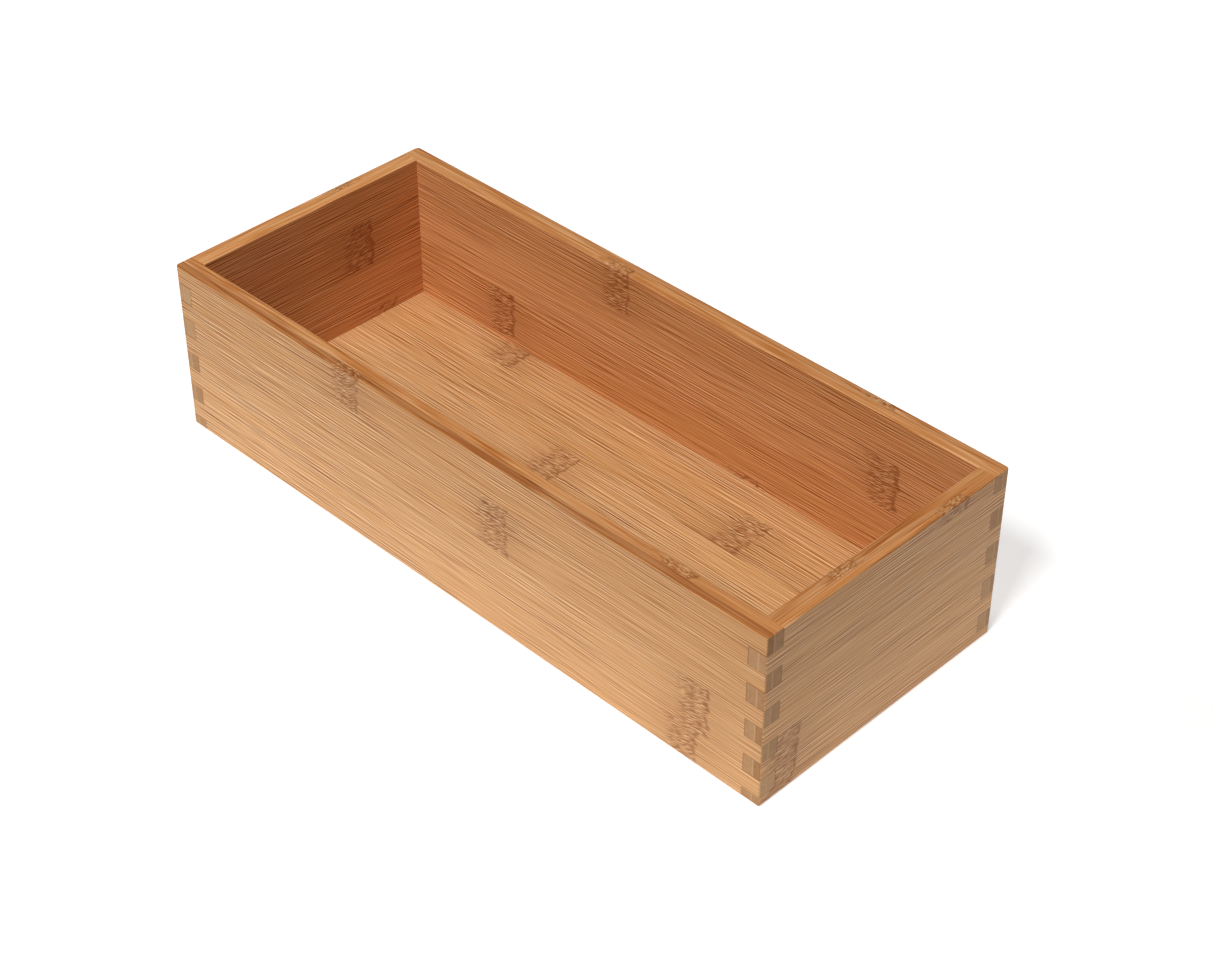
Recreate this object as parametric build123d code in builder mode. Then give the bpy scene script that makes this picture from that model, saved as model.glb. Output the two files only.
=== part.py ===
"""Open desk organizer: four finger-jointed bamboo walls round a bottom panel held in their grooves.

Millimetres. The origin is the centre of the box's underside, +X runs along its length, +Y towards
its back wall and +Z up. The box stands on the lower edges of its four walls.
"""

import os

from build123d import *

# The box outside, and the boards that its walls are made of.
LENGTH = 304.8
WIDTH = 124.8
HEIGHT = 75.4
BOARD = 7.75

# The finger joints: a finger is about as tall as a board is thick, and they are counted down from
# the rim.
FINGER = 7.9

# The bottom panel, and the grooves that hold it.
PANEL_THICKNESS = 5.0
PANEL_UNDERSIDE = 6.0
GROOVE_DEPTH = 4.0
PANEL_GAP = 0.3
PANEL_CHAMFER = 0.5

# Hand-sanded edges. The upright corners aren't eased alike: (x side, y side, radius).
UPRIGHT_CORNERS = [(-1, -1, 1.2), (1, -1, 0.8), (1, 1, 1.3), (-1, 1, 2.0)]
OUTER_EDGE_RADIUS = 0.7
INNER_EDGE_RADIUS = 0.5

INNER_LENGTH = LENGTH - 2 * BOARD
INNER_WIDTH = WIDTH - 2 * BOARD
PANEL_MIDDLE = PANEL_UNDERSIDE + PANEL_THICKNESS / 2


def finger_bands(first):
    """The heights (low, high) of every other finger, from finger number first below the rim."""
    bands = []
    high = HEIGHT - first * FINGER
    while high > 0:
        bands.append((max(high - FINGER, 0.0), high))
        high -= 2 * FINGER
    return bands


def sanded_ring():
    """All four walls as one ring with its edges eased, which each wall is cut from, so joints are flush."""
    with BuildPart() as ring:
        with BuildSketch():
            Rectangle(LENGTH, WIDTH)
            Rectangle(INNER_LENGTH, INNER_WIDTH, mode=Mode.SUBTRACT)
        extrude(amount=HEIGHT)
        for side_x, side_y, radius in UPRIGHT_CORNERS:
            corner = Vector(side_x * LENGTH / 2, side_y * WIDTH / 2, HEIGHT / 2)
            upright = ring.edges().filter_by(Axis.Z).sort_by_distance(corner)[0]
            fillet(upright, radius=radius)
        rim = ring.faces().sort_by(Axis.Z)[-1]
        underside = ring.faces().sort_by(Axis.Z)[0]
        inner_rim = rim.inner_wires()[0].edges()
        fillet(rim.outer_wire().edges() + underside.outer_wire().edges(), radius=OUTER_EDGE_RADIUS)
        fillet(inner_rim, radius=INNER_EDGE_RADIUS)
    return ring.part


SANDED_RING = sanded_ring()

# The long walls own the finger at the rim. The end walls own the next one down, and so on.
END_WALL_BANDS = finger_bands(1)


def long_wall(side_y):
    """The front wall (side_y -1) or the back wall (side_y 1). Its groove stops inside the last finger."""
    inner_face = Plane.XZ.offset(-side_y * INNER_WIDTH / 2)
    outwards = -side_y
    with BuildPart() as wall:
        with BuildSketch(inner_face):
            with Locations((0, HEIGHT / 2)):
                Rectangle(LENGTH, HEIGHT)
            for side_x in (-1, 1):
                for low, high in END_WALL_BANDS:
                    with Locations((side_x * (LENGTH - BOARD) / 2, (low + high) / 2)):
                        Rectangle(BOARD, high - low, mode=Mode.SUBTRACT)
        extrude(amount=outwards * BOARD)
        add(SANDED_RING, mode=Mode.INTERSECT)
        with BuildSketch(inner_face):
            with Locations((0, PANEL_MIDDLE)):
                Rectangle(INNER_LENGTH + 2 * GROOVE_DEPTH, PANEL_THICKNESS)
        extrude(amount=outwards * GROOVE_DEPTH, mode=Mode.SUBTRACT)
    return wall


def end_wall(side_x):
    """The left wall (side_x -1) or the right wall (side_x 1). Its groove runs from socket to socket."""
    inner_face = Plane.YZ.offset(side_x * INNER_LENGTH / 2)
    outwards = side_x
    with BuildPart() as wall:
        with BuildSketch(inner_face):
            with Locations((0, HEIGHT / 2)):
                Rectangle(INNER_WIDTH, HEIGHT)
            for side_y in (-1, 1):
                for low, high in END_WALL_BANDS:
                    with Locations((side_y * (WIDTH - BOARD) / 2, (low + high) / 2)):
                        Rectangle(BOARD, high - low)
        extrude(amount=outwards * BOARD)
        add(SANDED_RING, mode=Mode.INTERSECT)
        with BuildSketch(inner_face):
            with Locations((0, PANEL_MIDDLE)):
                Rectangle(INNER_WIDTH, PANEL_THICKNESS)
        extrude(amount=outwards * GROOVE_DEPTH, mode=Mode.SUBTRACT)
    return wall


def bottom_panel():
    """The panel floats in the grooves, a small gap short of their bottoms, with chamfered edges."""
    tongue = GROOVE_DEPTH - PANEL_GAP
    with BuildPart() as panel:
        with BuildSketch(Plane.XY.offset(PANEL_UNDERSIDE)):
            Rectangle(INNER_LENGTH + 2 * tongue, INNER_WIDTH + 2 * tongue)
        extrude(amount=PANEL_THICKNESS)
        chamfer(panel.edges().filter_by(Axis.Z, reverse=True), length=PANEL_CHAMFER)
    return panel


PIECES = {
    "front_wall": long_wall(-1),
    "back_wall": long_wall(1),
    "left_wall": end_wall(-1),
    "right_wall": end_wall(1),
    "bottom_panel": bottom_panel(),
}

os.makedirs("parts", exist_ok=True)
for name, piece in PIECES.items():
    piece.part.label = name
    export_step(piece.part, f"parts/{name}.step")
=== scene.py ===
"""The looks of the bamboo desk organizer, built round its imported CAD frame.

The five CAD nodes keep their shapes, and each gets a bamboo material of its own. A board is glued
up from two plies, and each ply from strips of culm with their own tone, fibres and knuckle. The
material is solid: it knows how deep a point lies in the board, so the faces show flat grain, the
rims edge grain with the seam between the plies, and the finger ends the cut ends of the fibres.
"""

import math

import bpy
from mathutils import Matrix, Vector


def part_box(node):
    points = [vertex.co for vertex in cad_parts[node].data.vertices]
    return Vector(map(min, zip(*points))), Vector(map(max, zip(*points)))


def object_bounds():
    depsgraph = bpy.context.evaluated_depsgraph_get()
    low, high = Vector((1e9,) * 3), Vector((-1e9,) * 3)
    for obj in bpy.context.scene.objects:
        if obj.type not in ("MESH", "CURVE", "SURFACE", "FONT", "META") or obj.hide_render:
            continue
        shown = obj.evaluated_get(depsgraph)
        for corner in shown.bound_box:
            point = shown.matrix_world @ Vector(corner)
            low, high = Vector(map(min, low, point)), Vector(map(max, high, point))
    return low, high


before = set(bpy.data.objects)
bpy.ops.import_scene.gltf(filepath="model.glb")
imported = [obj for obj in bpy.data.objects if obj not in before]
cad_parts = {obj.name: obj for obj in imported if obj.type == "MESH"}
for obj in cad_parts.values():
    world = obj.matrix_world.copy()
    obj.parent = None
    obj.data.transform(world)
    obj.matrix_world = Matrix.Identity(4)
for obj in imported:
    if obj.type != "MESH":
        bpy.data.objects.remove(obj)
cad_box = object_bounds()

MM = 0.001

# Sizes of the object in millimetres. All but the height of a finger are read from the frame.
box_low, box_high = cad_box
LENGTH = (box_high.x - box_low.x) / MM
WIDTH = (box_high.y - box_low.y) / MM
right_low, right_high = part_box("right_wall")
BOARD = (right_high.x - right_low.x) / MM
FINGER = 7.9

# How a board is glued up, in millimetres. A seam or a line fades out between its two distances from
# its middle.
STRIP_WIDTH = 21.6
OUTER_PLY = 3.4
STRIP_SEAM = (0.05, 0.28)
PLY_SEAM = (0.10, 0.50)
JOINT_LINE = (0.04, 0.22)

# The lines round the fingers start this far before them and below the rim, and the painted shade of
# the inner faces, darker and warmer for the shade and warm bounce inside the box, starts and is full
# at these depths, all in millimetres.
CORNER_FADE = 0.3
BELOW_RIM = (2.0, 3.0)
INSIDE_SHADE_DEPTHS = (0.4, 0.2)

# A surface turns from a face into an end or a rim as it turns towards that side, from 0 for not at
# all to 1 for squarely.
END_FACING = (0.55, 0.85)
EDGE_FACING = (0.40, 0.85)

# Bamboo colours, linear. A tint is multiplied with the colour that it changes.
FLAT_LIGHT = (0.890, 0.588, 0.323)
FLAT_DARK = (0.205, 0.058, 0.005)
EDGE_LIGHT = (0.890, 0.480, 0.220)
EDGE_DARK = (0.215, 0.052, 0.008)
END_LIGHT = (0.535, 0.310, 0.150)
END_DARK = (0.320, 0.145, 0.048)
STAIN = (0.42, 0.165, 0.085)
KNUCKLE_EDGE = (0.27, 0.088, 0.022)
PLY_GLUE = (0.62, 0.380, 0.200)
WARM_TINT = (0.98, 0.90, 0.75)
LINE_TINT = (1.0, 0.77, 0.48)
# The inside tint below is painted shade: it darkens and reddens the inner faces as shade and warm
# bounce inside the box would.
INSIDE_SHADE_TINT = (1.06, 0.87, 0.77)
SEAM_TINT = (0.80, 0.72, 0.62)
JOINT_TINT = (0.50, 0.42, 0.36)

# How strongly a colour or a tint shows, from 0 to 1.
STAIN_SHARE = 0.24
KNUCKLE_SHARE = 0.14
DASH_SHARE = 0.66
GLINT_SHARE = 0.40
RIDGE_SHARE = 0.55
STRIP_SEAM_SHARE = 0.35
PLY_SEAM_SHARE = 0.50
JOINT_LINE_SHARE = 0.75

# Noises of the grain: how long their features are along the fibres and how wide, in millimetres.
BROAD = (130.0, 8.0)
MIDDLE = (60.0, 2.4)
FINE = (28.0, 0.60)
THREADS = (34.0, 0.60)
PATCHES = (60.0, 5.0)
STAINS = (46.0, 3.2)
END_DOTS = (120.0, 0.42)
SEAM_WANDER = (14.0, 3.0)
LUMPS = (7.0, 4.5)
SWIRL = (6.0, 3.4)
CRINKLE = (3.8, 0.48)

# How far a noise moves something, in millimetres from its lowest value to its highest.
LUMPS_MOVE_KNUCKLE = 6.0
SWIRL_BENDS_FIBRES = 1.8
SWIRL_BENDS_CRINKLE = 0.9
WANDER_MOVES_SEAM = 0.5

# Noise lies round 0.5. A feature fades in between its two levels, but the glints fade out there.
THREAD_LEVELS = (0.56, 0.64)
PATCH_LEVELS = (0.42, 0.62)
STAIN_LEVELS = (0.60, 0.76)
END_DOT_LEVELS = (0.50, 0.70)
RIM_SEAM_LEVELS = (0.46, 0.60)
DASH_LEVELS = (0.51, 0.58)
GLINT_LEVELS = (0.36, 0.44)
RIDGE_LEVELS = (0.38, 0.54)

# Fibre lines are the fine noise less the same noise this far aside, in millimetres. They are this
# strong between the patches, and stronger by 1 in them.
LINE_SHIFT = 0.36
LINES_BETWEEN_PATCHES = 1.1

# A knuckle's parts, in millimetres from its middle along the fibres. Each fades between its two
# distances, and the ridge's line fades between two distances from the ridge.
HALO_END = (4.0, 26.0)
BEND_END = (4.0, 18.0)
CORE_START = (-10.0, -4.0)
CORE_END = (5.6, 6.8)
RIDGE = 5.8
RIDGE_LINE = (0.3, 1.4)

# How far across the fibres the crinkles run for each millimetre along them.
CRINKLE_SLANT = 0.28

# Tones go from 0 for the darkest bamboo to 1 for the lightest. A strip's or a rim's own tone is
# scaled and raised, and then the features of the grain lighten or darken it.
FLAT_SCALE = 0.57
FLAT_RAISE = 0.33
EDGE_SCALE = 0.62
EDGE_RAISE = 0.22
BROAD_TONE = 0.18
MIDDLE_TONE = 0.16
THREAD_TONE = 0.20
HALO_TONE = 0.09
EDGE_GRAIN = 0.58
END_MIDDLE_TONE = 0.5
END_DOT_TONE = 0.30

# A strip is warmer the further its tone lies below WARM_BELOW, and a fibre line the darker it is.
WARM_BELOW = 0.68
WARM_BY_TONE = 2.3
WARM_BY_BROAD = 1.0
WARM_BY_MIDDLE = 1.5
WARM_BY_LINE = 2.0

# How far apart in the noises the strips, the boards and the stains are, so that no two are alike.
STRIP_SHIFT = 173.0
BOARD_SHIFT = 1310.0
STAIN_SHIFT = 57.0

# The lacquer, how much rougher it is on the dashes and on the ends, and how the grain stands in it.
ROUGHNESS = 0.46
DASH_ROUGHER = 0.10
END_ROUGHER = 0.14
SPECULAR = 0.16
COAT = 0.04
COAT_ROUGHNESS = 0.30
FINE_BUMP = 0.6
MIDDLE_BUMP = 0.3
DASH_BUMP = 0.5
BUMP_STRENGTH = 0.14
BUMP_HEIGHT = 0.12 * MM


class Board:
    """How a board lies in the box, and what its strips look like.

    The fibres run along the axis fibre, the strips lie side by side along across, and depth is the
    axis through the board. depth_sign is 1 where depth grows from the outer face inwards.
    first_strips says how much of the first strip of the outer and of the inner ply was cut away.
    plies lists each ply's strips from the rim down, as (tone, knuckle): tone is 0.5 for the usual
    one, and the knuckle's place is in millimetres from the middle of the board. rim_tones are the
    outer and the inner ply's. end_tones are those of the finger ends from the rim down, as
    (outer, inner) for the end at the fibre axis's low side and then for the one at its high side.
    streaks is how strong the fibre lines are at the low and at the high side.
    """

    def __init__(self, node, axes, depth_sign, first_strips, plies, rim_tones, end_tones,
                 streaks=(1.0, 1.0)):
        self.node = node
        self.fibre, self.across, self.depth = axes
        self.depth_sign = depth_sign
        self.first_strips = first_strips
        self.plies = plies
        self.rim_tones = rim_tones
        self.end_tones = end_tones
        self.streaks = streaks
        low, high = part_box(node)
        span = {axis: (low[i] / MM, high[i] / MM) for i, axis in enumerate("XYZ")}
        self.half_length = (span[self.fibre][1] - span[self.fibre][0]) / 2
        self.rim = span[self.across][1]
        self.outer_face = span[self.depth][0 if depth_sign > 0 else 1]


# The place of a knuckle that lies past the board's end.
NO_KNUCKLE = 400.0

# Tones for a column of five finger ends, from the rim down, as (outer ply, inner ply).
FINGER_ENDS = (
    [(0.10, 0.42), (0.48, 0.46), (0.74, 0.56), (0.70, 0.58), (1.00, 0.95)],
    [(0.65, 0.60), (0.54, 0.52), (0.68, 0.66), (0.56, 0.92), (0.54, 0.84)],
    [(0.84, 0.98), (0.76, 0.84), (0.76, 0.50), (0.70, 0.54), (0.80, 0.68)],
    [(0.68, 0.70), (0.48, 0.57), (0.32, 0.70), (0.27, 0.68), (0.60, 0.66)],
)

BOARDS = [
    # The front wall's outer strips grow lighter from the rim down: partly their own tones, partly
    # painted light for the floor's bounce on the lower face.
    Board("front_wall", ("X", "Z", "Y"), 1, (5.0, 14.0),
          [[(0.36, -53), (0.44, 25), (0.54, 122), (0.58, 117), (0.5, -90)],
           [(0.50, 109), (0.55, -70), (0.45, 60), (0.52, -20), (0.5, 90)]],
          (0.22, 0.65), (FINGER_ENDS[1], FINGER_ENDS[0]), streaks=(1.40, 0.54)),
    Board("back_wall", ("X", "Z", "Y"), -1, (9.0, 3.0),
          [[(0.50, 96), (0.56, -64), (0.44, 12), (0.52, -118), (0.5, 70)],
           [(0.48, -30), (0.55, 105), (0.42, -95), (0.50, 40), (0.5, -60)]],
          (0.55, 0.70), (FINGER_ENDS[3], FINGER_ENDS[1])),
    Board("left_wall", ("Y", "Z", "X"), 1, (12.0, 5.0),
          [[(0.54, 20), (0.46, NO_KNUCKLE), (0.52, -38), (0.50, NO_KNUCKLE), (0.5, 0)],
           [(0.50, NO_KNUCKLE), (0.42, 22), (0.50, NO_KNUCKLE), (0.54, 34), (0.5, 0)]],
          (0.84, 0.88), (FINGER_ENDS[2], FINGER_ENDS[0])),
    # The right wall's outer strips grow lighter from the rim down: partly their own tones, partly
    # painted light for the floor's bounce on the lower face.
    Board("right_wall", ("Y", "Z", "X"), -1, (16.6, 7.0),
          [[(0.40, 33), (0.46, NO_KNUCKLE), (0.52, NO_KNUCKLE), (0.56, -50), (0.5, -52)],
           [(0.50, -20), (0.55, -35), (0.45, 48), (0.50, NO_KNUCKLE), (0.5, 0)]],
          (0.60, 0.50), (FINGER_ENDS[3], FINGER_ENDS[2]), streaks=(0.92, 0.92)),
    Board("bottom_panel", ("X", "Y", "Z"), -1, (4.0, 11.0),
          [[(0.50, -85), (0.44, 60), (0.56, -20), (0.48, 115), (0.54, -120), (0.5, 20)],
           [(0.50, 50), (0.46, -60), (0.53, 90), (0.50, -10), (0.47, 130), (0.5, -90)]],
          (0.6, 0.6), (FINGER_ENDS[0], FINGER_ENDS[1])),
]


class Graph:
    """Adds shader nodes to a tree. Its methods take numbers or sockets, and return a socket."""

    def __init__(self, tree):
        self.tree = tree

    def node(self, kind, **settings):
        made = self.tree.nodes.new("ShaderNode" + kind)
        for name, value in settings.items():
            setattr(made, name, value)
        return made

    def feed(self, socket, value):
        """Links value to socket, or sets it there if it is a number or a colour."""
        if isinstance(value, bpy.types.NodeSocket):
            self.tree.links.new(value, socket)
        elif socket.type == "RGBA":
            socket.default_value = (*value, 1.0)
        else:
            socket.default_value = value

    def fill(self, made, *values):
        for socket, value in zip(made.inputs, values):
            self.feed(socket, value)
        return made.outputs[0]

    def math(self, operation, *values):
        return self.fill(self.node("Math", operation=operation), *values)

    def add(self, a, b):
        return self.math("ADD", a, b)

    def sub(self, a, b):
        return self.math("SUBTRACT", a, b)

    def mul(self, a, b):
        return self.math("MULTIPLY", a, b)

    def size(self, a):
        return self.math("ABSOLUTE", a)

    def larger(self, a, b):
        return self.math("MAXIMUM", a, b)

    def clamp(self, a):
        return self.fill(self.node("Clamp"), a, 0.0, 1.0)

    def rise(self, value, low, high):
        """0 where value is below low and 1 above high, smooth between them."""
        ramp = self.node("MapRange", interpolation_type="SMOOTHSTEP")
        return self.fill(ramp, value, low, high, 0.0, 1.0)

    def fall(self, value, low, high):
        """1 where value is below low and 0 above high, smooth between them."""
        ramp = self.node("MapRange", interpolation_type="SMOOTHSTEP")
        return self.fill(ramp, value, low, high, 1.0, 0.0)

    def split(self, vector):
        """The vector's three parts, by the names of the axes."""
        made = self.node("SeparateXYZ")
        self.feed(made.inputs[0], vector)
        return dict(zip("XYZ", made.outputs))

    def noise(self, place, features, detail=1.0):
        """Noise with features as long down the fibres and as wide across as features says."""
        along, across = features
        scaled = [self.mul(part, 1 / size) for part, size in zip(place, (along, across, across))]
        made = self.node("TexNoise", noise_dimensions="3D")
        self.feed(made.inputs["Vector"], self.fill(self.node("CombineXYZ"), *scaled))
        made.inputs["Scale"].default_value = 1.0
        made.inputs["Detail"].default_value = detail
        return made.outputs["Fac"]

    def swing(self, value, amount):
        """The noise value moved to swing round 0 by amount."""
        return self.mul(self.sub(value, 0.5), amount)

    def look_up(self, index, rows):
        """The three numbers of the row that index counts to, each of them from 0 to 1."""
        ramp = self.node("ValToRGB")
        ramp.color_ramp.interpolation = "CONSTANT"
        stops = ramp.color_ramp.elements
        while len(stops) < len(rows):
            stops.new(1.0)
        for i, row in enumerate(rows):
            stops[i].position = i / len(rows)
        for i, row in enumerate(rows):
            stops[i].color = (*row, 1.0)
        self.feed(ramp.inputs[0], self.mul(self.add(index, 0.5), 1 / len(rows)))
        made = self.node("SeparateColor")
        self.feed(made.inputs[0], ramp.outputs[0])
        return made.outputs[0], made.outputs[1], made.outputs[2]

    def blend(self, share, a, b, **settings):
        made = self.node("Mix", data_type="RGBA", **settings)
        self.feed(made.inputs[0], share)
        self.feed(made.inputs[6], a)
        self.feed(made.inputs[7], b)
        return made.outputs[2]

    def mix(self, share, a, b):
        """Colour a where share is 0, and b where it is 1."""
        return self.blend(share, a, b)

    def tint(self, share, a, b):
        """Colour a, multiplied by colour b where share is 1."""
        return self.blend(share, a, b, blend_type="MULTIPLY")


# A knuckle's place is kept in a colour, so it is scaled to lie between 0 and 1.
KNUCKLE_SPAN = 1000.0


class Bamboo:
    """Makes a board's material, satin-lacquered bamboo.

    For each point, u runs along the fibres, v down from the rim and w in from the outer face, in
    millimetres.
    """

    def __init__(self, board, seed):
        self.board = board
        self.material = bpy.data.materials.new(board.node + "_bamboo")
        self.material.use_nodes = True
        self.material.node_tree.nodes.clear()
        self.g = Graph(self.material.node_tree)
        self.find_point()
        self.find_strip()
        self.grow_fibres(seed)
        self.crinkle_knuckle()
        colour = self.grain_colour()
        colour = self.with_knuckle(colour)
        colour = self.with_strip_seams(colour)
        colour = self.with_inside_shade(colour)
        colour = self.with_finger_ends(colour)
        colour = self.with_ply_seam(colour)
        if board.across == "Z":
            colour = self.with_joint_lines(colour)
        self.lacquer(colour)

    def find_point(self):
        """Where the point lies in the board, and which way the surface faces there."""
        g, board = self.g, self.board
        coordinates = g.node("TexCoord")
        place = g.split(coordinates.outputs["Object"])
        facing = g.split(coordinates.outputs["Normal"])
        self.u = g.mul(place[board.fibre], 1 / MM)
        self.v = g.sub(board.rim, g.mul(place[board.across], 1 / MM))
        depth = g.sub(g.mul(place[board.depth], 1 / MM), board.outer_face)
        self.w = g.mul(depth, board.depth_sign)
        self.on_end = g.rise(g.size(facing[board.fibre]), *END_FACING)
        self.on_edge = g.rise(g.size(facing[board.across]), *EDGE_FACING)

    def find_strip(self):
        """The strip that the point lies in, with its tone and the place of its knuckle."""
        g, board = self.g, self.board
        self.inner = g.math("GREATER_THAN", self.w, OUTER_PLY)
        outer_cut, inner_cut = board.first_strips
        cut = g.add(g.mul(self.inner, inner_cut - outer_cut), outer_cut)
        counted = g.mul(g.add(self.v, cut), 1 / STRIP_WIDTH)
        row = g.larger(g.math("FLOOR", counted), 0.0)
        self.index = g.add(row, g.mul(self.inner, len(board.plies[0])))
        rows = []
        for ply, rim_tone in zip(board.plies, board.rim_tones):
            rows += [(tone, knuckle / KNUCKLE_SPAN + 0.5, rim_tone) for tone, knuckle in ply]
        self.tone, knuckle, self.rim_tone = g.look_up(self.index, rows)
        self.from_knuckle = g.sub(self.u, g.mul(g.sub(knuckle, 0.5), KNUCKLE_SPAN))
        from_middle = g.size(g.sub(g.math("FRACT", counted), 0.5))
        self.from_seam = g.mul(g.sub(0.5, from_middle), STRIP_WIDTH)

    def grow_fibres(self, seed):
        """The noises of the grain. Those of each strip are its own, and wander near its knuckle."""
        g, v, w = self.g, self.v, self.w
        shifted = g.add(self.u, g.add(g.mul(self.index, STRIP_SHIFT), seed * BOARD_SHIFT))
        self.straight = (shifted, v, w)
        lumps = g.noise(self.straight, LUMPS)
        self.from_knuckle = g.add(self.from_knuckle, g.swing(lumps, LUMPS_MOVE_KNUCKLE))
        reach = g.size(self.from_knuckle)
        self.halo = g.fall(reach, *HALO_END)
        self.swirl = g.noise(self.straight, SWIRL)
        bend = g.mul(g.swing(self.swirl, SWIRL_BENDS_FIBRES), g.fall(reach, *BEND_END))
        bent_v = g.add(v, bend)
        fibres = (shifted, bent_v, w)
        self.broad = g.noise(fibres, BROAD, detail=2.0)
        self.middle = g.noise(fibres, MIDDLE)
        self.fine = g.noise(fibres, FINE)
        beside = g.noise((shifted, g.add(bent_v, LINE_SHIFT), w), FINE)
        patches = g.rise(g.noise(fibres, PATCHES), *PATCH_LEVELS)
        self.threads = g.mul(g.rise(g.noise(fibres, THREADS), *THREAD_LEVELS), patches)
        low_streaks, high_streaks = self.board.streaks
        slope = (high_streaks - low_streaks) / (2 * self.board.half_length)
        streaks = g.add(g.mul(self.u, slope), (low_streaks + high_streaks) / 2)
        lines = g.mul(g.sub(self.fine, beside), streaks)
        self.lines = g.mul(lines, g.add(patches, LINES_BETWEEN_PATCHES))
        stained = (g.add(shifted, STAIN_SHIFT), bent_v, w)
        self.stains = g.rise(g.noise(stained, STAINS, detail=2.0), *STAIN_LEVELS)

    def crinkle_knuckle(self):
        """The knuckle's crinkled core, and the dark dashes in it."""
        g = self.g
        core_start = g.rise(self.from_knuckle, *CORE_START)
        self.core = g.mul(core_start, g.fall(self.from_knuckle, *CORE_END))
        bent_v = g.add(self.v, g.swing(self.swirl, SWIRL_BENDS_CRINKLE))
        slanted_v = g.add(bent_v, g.mul(self.from_knuckle, CRINKLE_SLANT))
        self.crinkle = g.noise((self.straight[0], slanted_v, self.w), CRINKLE)
        self.dashes = g.mul(self.core, g.rise(self.crinkle, *DASH_LEVELS))

    def grain_colour(self):
        """Flat grain on the faces and edge grain on the rims, with warmer and stained stretches."""
        g = self.g
        lighter = g.add(g.swing(self.middle, MIDDLE_TONE), self.lines)
        lighter = g.add(g.swing(self.broad, BROAD_TONE), lighter)
        darker = g.add(g.mul(self.threads, THREAD_TONE), g.mul(self.halo, HALO_TONE))
        grain = g.sub(lighter, darker)
        flat_tone = g.add(g.add(g.mul(self.tone, FLAT_SCALE), FLAT_RAISE), grain)
        flat = g.mix(g.clamp(flat_tone), FLAT_DARK, FLAT_LIGHT)
        edge_tone = g.add(g.mul(self.rim_tone, EDGE_SCALE), EDGE_RAISE)
        edge_tone = g.add(edge_tone, g.mul(grain, EDGE_GRAIN))
        edge = g.mix(g.clamp(edge_tone), EDGE_DARK, EDGE_LIGHT)
        colour = g.mix(self.on_edge, flat, edge)
        warmth = g.sub(g.swing(self.broad, WARM_BY_BROAD), g.swing(self.middle, WARM_BY_MIDDLE))
        warmth = g.add(g.mul(g.sub(WARM_BELOW, self.tone), WARM_BY_TONE), warmth)
        colour = g.tint(g.clamp(warmth), colour, WARM_TINT)
        line_warmth = g.sub(0.5, g.mul(self.lines, WARM_BY_LINE))
        colour = g.tint(g.clamp(line_warmth), colour, LINE_TINT)
        return g.mix(g.mul(self.stains, STAIN_SHARE), colour, STAIN)

    def with_knuckle(self, colour):
        """The knuckle has short dark dashes, light glints, and a reddish ridge at its end."""
        g = self.g
        glints = g.mul(self.core, g.fall(self.crinkle, *GLINT_LEVELS))
        ridge = g.fall(g.size(g.sub(self.from_knuckle, RIDGE)), *RIDGE_LINE)
        ridge = g.mul(ridge, g.rise(self.swirl, *RIDGE_LEVELS))
        colour = g.mix(g.mul(self.core, KNUCKLE_SHARE), colour, KNUCKLE_EDGE)
        colour = g.mix(g.mul(self.dashes, DASH_SHARE), colour, KNUCKLE_EDGE)
        colour = g.mix(g.mul(glints, GLINT_SHARE), colour, FLAT_LIGHT)
        return g.mix(g.mul(ridge, RIDGE_SHARE), colour, KNUCKLE_EDGE)

    def with_strip_seams(self, colour):
        """The faint seams between strips, which don't show on the rims."""
        g = self.g
        seams = g.mul(g.fall(self.from_seam, *STRIP_SEAM), g.sub(1.0, self.on_edge))
        return g.tint(g.mul(seams, STRIP_SEAM_SHARE), colour, SEAM_TINT)

    def with_inside_shade(self, colour):
        """The faces inside the box get painted shade, darker and warmer, as shade and warm bounce
        inside the box make them.
        """
        g = self.g
        start, full = (BOARD - depth for depth in INSIDE_SHADE_DEPTHS)
        inside = g.mul(g.rise(self.w, start, full), g.sub(1.0, self.on_edge))
        return g.tint(inside, colour, INSIDE_SHADE_TINT)

    def with_finger_ends(self, colour):
        """The cut ends of the fibres on the fingers, each finger with its own tones."""
        g, board = self.g, self.board
        first_finger = FINGER if board.fibre == "Y" else 0.0
        finger = g.math("FLOOR", g.mul(g.sub(self.v, first_finger), 0.5 / FINGER))
        finger = g.larger(finger, 0.0)
        low_end, high_end = board.end_tones
        rows = []
        for ply in (0, 1):
            rows += [(low[ply], high[ply], 0.5) for low, high in zip(low_end, high_end)]
        row = g.add(finger, g.mul(self.inner, len(low_end)))
        low_tone, high_tone = g.look_up(row, rows)[:2]
        at_high = g.math("GREATER_THAN", self.u, 0.0)
        tone = g.add(low_tone, g.mul(at_high, g.sub(high_tone, low_tone)))
        dots = g.rise(g.noise(self.straight, END_DOTS), *END_DOT_LEVELS)
        grain = g.sub(g.swing(self.middle, END_MIDDLE_TONE), g.mul(dots, END_DOT_TONE))
        end = g.mix(g.clamp(g.add(tone, grain)), END_DARK, END_LIGHT)
        return g.mix(self.on_end, colour, end)

    def with_ply_seam(self, colour):
        """The seam between the plies, whole on the finger ends and broken along the rims."""
        g = self.g
        wander = g.swing(g.noise(self.straight, SEAM_WANDER), WANDER_MOVES_SEAM)
        from_seam = g.size(g.sub(g.add(self.w, wander), OUTER_PLY))
        on_rim = g.mul(self.on_edge, g.rise(self.middle, *RIM_SEAM_LEVELS))
        seam = g.mul(g.fall(from_seam, *PLY_SEAM), g.larger(self.on_end, on_rim))
        return g.mix(g.mul(seam, PLY_SEAM_SHARE), colour, PLY_GLUE)

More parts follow.
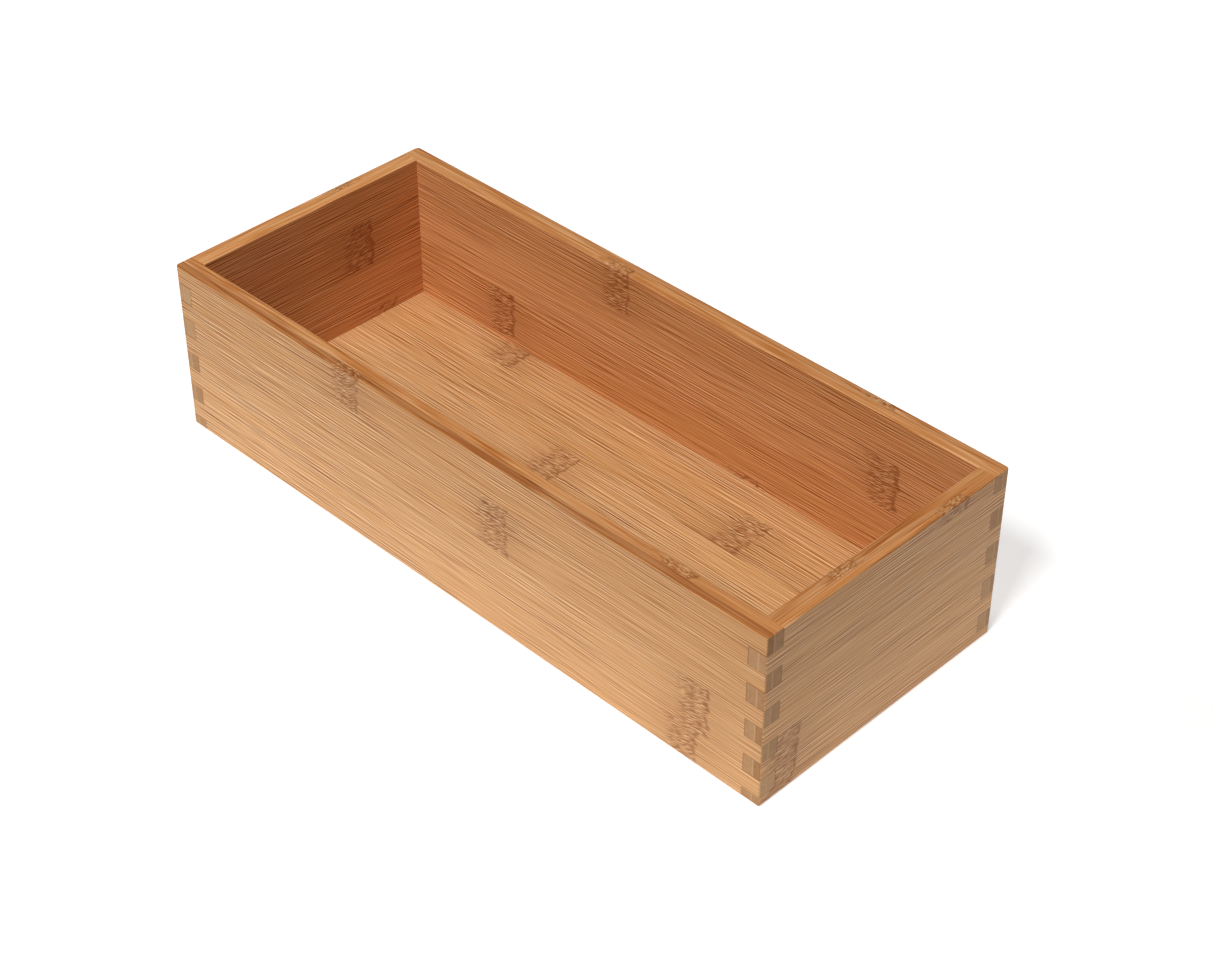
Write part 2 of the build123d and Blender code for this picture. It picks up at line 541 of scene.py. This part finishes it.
    def with_joint_lines(self, colour):
        """The hairlines round the fingers: between them, at their bases and where sockets end."""
        g, board = self.g, self.board
        socket = board.half_length - FINGER
        along = g.size(self.u)
        level = g.mul(self.v, 1 / FINGER)
        from_level = g.mul(g.size(g.sub(level, g.math("ROUND", level))), FINGER)
        on_corner = g.mul(g.rise(along, socket - CORNER_FADE, socket), g.rise(self.v, *BELOW_RIM))
        level_line = g.mul(g.fall(from_level, *JOINT_LINE), on_corner)
        on_face = g.sub(1.0, g.larger(self.on_end, self.on_edge))
        socket_line = g.mul(g.fall(g.size(g.sub(along, socket)), *JOINT_LINE), on_face)
        odd = g.math("GREATER_THAN", g.math("FRACT", g.mul(level, 0.5)), 0.5)
        in_socket = odd if board.fibre == "X" else g.sub(1.0, odd)
        outside = g.math("LESS_THAN", self.w, BOARD / 2)
        socket_line = g.mul(socket_line, g.mul(in_socket, outside))
        base_line = g.mul(g.fall(g.size(g.sub(self.w, BOARD)), *JOINT_LINE), self.on_end)
        line = g.larger(g.larger(level_line, socket_line), base_line)
        return g.tint(g.mul(line, JOINT_LINE_SHARE), colour, JOINT_TINT)

    def lacquer(self, colour):
        """A thin satin lacquer, which follows the fibres and the dashes of the knuckles."""
        g = self.g
        height = g.add(g.mul(self.fine, FINE_BUMP), g.mul(self.middle, MIDDLE_BUMP))
        height = g.sub(height, g.mul(self.dashes, DASH_BUMP))
        bump = g.node("Bump")
        bump.inputs["Strength"].default_value = BUMP_STRENGTH
        bump.inputs["Distance"].default_value = BUMP_HEIGHT
        g.feed(bump.inputs["Height"], height)
        rougher = g.add(g.mul(self.dashes, DASH_ROUGHER), g.mul(self.on_end, END_ROUGHER))
        shader = g.node("BsdfPrincipled")
        g.feed(shader.inputs["Base Color"], colour)
        g.feed(shader.inputs["Roughness"], g.add(ROUGHNESS, rougher))
        g.feed(shader.inputs["Normal"], bump.outputs[0])
        shader.inputs["Specular IOR Level"].default_value = SPECULAR
        shader.inputs["Coat Weight"].default_value = COAT
        shader.inputs["Coat Roughness"].default_value = COAT_ROUGHNESS
        output = g.node("OutputMaterial")
        g.feed(output.inputs["Surface"], shader.outputs[0])


for number, board in enumerate(BOARDS, start=1):
    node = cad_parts[board.node]
    node.data.materials.clear()
    node.data.materials.append(Bamboo(board, number).material)


# The floor is a white sheet lit from below, as in a product photograph. It glows a little more round
# the box and most behind it. In front of the box, past what the camera sees, it turns grey and no
# longer glows: painted shade, standing in for the sheet's light falling off away from the box. Its
# size and the gap under the box are in metres, and the distances in millimetres.
FLOOR_SIZE = 8.0
FLOOR_GAP = 0.0002
FLOOR_GLOW = 0.28
NEAR_GLOW = 0.14
NEAR_REACH = 80.0
BACK_GLOW = 0.21
BACK_START = 5.0
BACK_FULL = 25.0
BACK_SLOPE = 0.35
SHEET_END = (318.0, 640.0)
SHEET_WHITE = (0.86, 0.86, 0.86)
SHEET_SHADE_GREY = (0.38, 0.38, 0.38)


def white_floor():
    half = FLOOR_SIZE / 2
    corners = [(-half, -half, 0.0), (half, -half, 0.0), (half, half, 0.0), (-half, half, 0.0)]
    mesh = bpy.data.meshes.new("floor")
    mesh.from_pydata(corners, [], [(0, 1, 2, 3)])
    floor = bpy.data.objects.new("floor", mesh)
    floor.location.z = box_low.z - FLOOR_GAP
    bpy.context.scene.collection.objects.link(floor)
    material = bpy.data.materials.new("white_sheet")
    material.use_nodes = True
    g = Graph(material.node_tree)
    place = g.split(g.node("TexCoord").outputs["Object"])
    x, y = g.mul(place["X"], 1 / MM), g.mul(place["Y"], 1 / MM)
    past_x = g.larger(g.sub(g.size(x), LENGTH / 2), 0.0)
    past_y = g.larger(g.sub(g.size(y), WIDTH / 2), 0.0)
    distance = g.math("SQRT", g.add(g.mul(past_x, past_x), g.mul(past_y, past_y)))
    full = g.add(BACK_FULL, g.larger(g.sub(distance, NEAR_REACH), 0.0))
    behind = g.rise(g.sub(y, g.mul(x, BACK_SLOPE)), BACK_START, full)
    near = g.mul(g.fall(distance, 0.0, NEAR_REACH), g.sub(1.0, behind))
    glow = g.add(FLOOR_GLOW, g.add(g.mul(near, NEAR_GLOW), g.mul(behind, BACK_GLOW)))
    lit = g.fall(g.sub(x, y), *SHEET_END)
    shader = material.node_tree.nodes["Principled BSDF"]
    g.feed(shader.inputs["Base Color"], g.mix(lit, SHEET_SHADE_GREY, SHEET_WHITE))
    shader.inputs["Roughness"].default_value = 0.9
    shader.inputs["Specular IOR Level"].default_value = 0.1
    shader.inputs["Emission Color"].default_value = (1.0, 1.0, 1.0, 1.0)
    g.feed(shader.inputs["Emission Strength"], g.mul(lit, glow))
    mesh.materials.append(material)


def aim_at(thing, place, target):
    """Puts a lamp or a camera at place, looking at target."""
    thing.location = place
    thing.rotation_mode = "QUATERNION"
    thing.rotation_quaternion = (Vector(target) - Vector(place)).to_track_quat("-Z", "Y")


def softbox(name, direction, distance, width, height, power):
    """A rectangular white lamp that lights the object from that direction."""
    lamp = bpy.data.lights.new(name, "AREA")
    lamp.shape = "RECTANGLE"
    lamp.size = width
    lamp.size_y = height
    lamp.energy = power
    thing = bpy.data.objects.new(name, lamp)
    centre = (box_low + box_high) / 2
    aim_at(thing, centre + Vector(direction).normalized() * distance, centre)
    bpy.context.scene.collection.objects.link(thing)


white_floor()

# A large soft lamp in front of the box and a weak one above it, in metres and watts.
softbox("key", (0.165, -0.76, 1.0), distance=3.2, width=0.9, height=0.7, power=75.2)
softbox("overhead", (0.0, 0.05, 1.0), distance=2.6, width=1.0, height=1.0, power=16.7)

# The world adds a little light from all round.
WORLD_GLOW = 0.05

world = bpy.data.worlds.new("studio")
bpy.context.scene.world = world
world.use_nodes = True
background = world.node_tree.nodes["Background"]
background.inputs["Color"].default_value = (1.0, 1.0, 1.0, 1.0)
background.inputs["Strength"].default_value = WORLD_GLOW
bpy.context.scene.view_settings.view_transform = "Standard"
bpy.context.scene.view_settings.look = "None"


# The camera looks down on the box's front right corner. Its angles are in degrees, its azimuth
# counts from the front, and it looks at a point that lies AIM from the middle of the box, in metres.
CAMERA_AZIMUTH = 44.649
CAMERA_ELEVATION = 38.185
CAMERA_ROLL = 0.147
CAMERA_DISTANCE = 0.92318
CAMERA_LENS = 73.35
CAMERA_CLIP = (0.05, 50.0)
AIM = Vector((0.01558, 0.00362, -0.01067))

azimuth, elevation = math.radians(CAMERA_AZIMUTH), math.radians(CAMERA_ELEVATION)
towards_camera = Vector((
    math.sin(azimuth) * math.cos(elevation),
    -math.cos(azimuth) * math.cos(elevation),
    math.sin(elevation),
))
camera = bpy.data.objects.new("camera", bpy.data.cameras.new("camera"))
camera.data.lens = CAMERA_LENS
camera.data.clip_start, camera.data.clip_end = CAMERA_CLIP
aim = (box_low + box_high) / 2 + AIM
aim_at(camera, aim + towards_camera * CAMERA_DISTANCE, aim)
roll = Matrix.Rotation(math.radians(CAMERA_ROLL), 3, "Z").to_quaternion()
camera.rotation_quaternion = camera.rotation_quaternion @ roll
bpy.context.scene.collection.objects.link(camera)
bpy.context.scene.camera = camera
